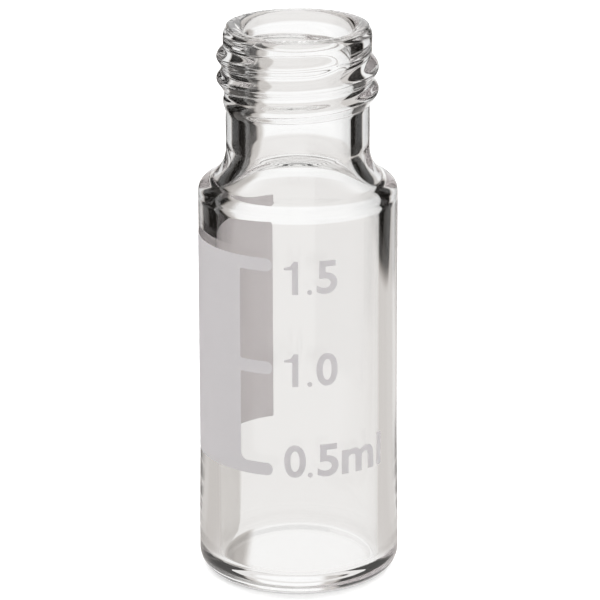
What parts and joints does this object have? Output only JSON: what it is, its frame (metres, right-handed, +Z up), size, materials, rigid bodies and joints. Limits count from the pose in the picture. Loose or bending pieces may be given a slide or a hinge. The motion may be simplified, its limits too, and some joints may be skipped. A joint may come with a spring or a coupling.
{
  "type": "glass sample vial",
  "caption": "Small clear glass vial with a right-hand screw thread on its neck, a rounded lip, a dished foot and a fired white volume scale with a writing patch.",
  "frame": {"origin": "centre of the ring that the vial stands on, on its axis", "axes": "+Z up the axis and out of the mouth; -Y is the side with the numbers; +X is to their right"},
  "size_m": [0.0116, 0.0116, 0.0324],
  "materials": {
    "glass": "clear, fire-polished",
    "enamel": "matt fired enamel"
  },
  "bodies": {
    "root": {"vial_body": "glass", "printed_scale": "enamel"}
  },
  "joints": []
}
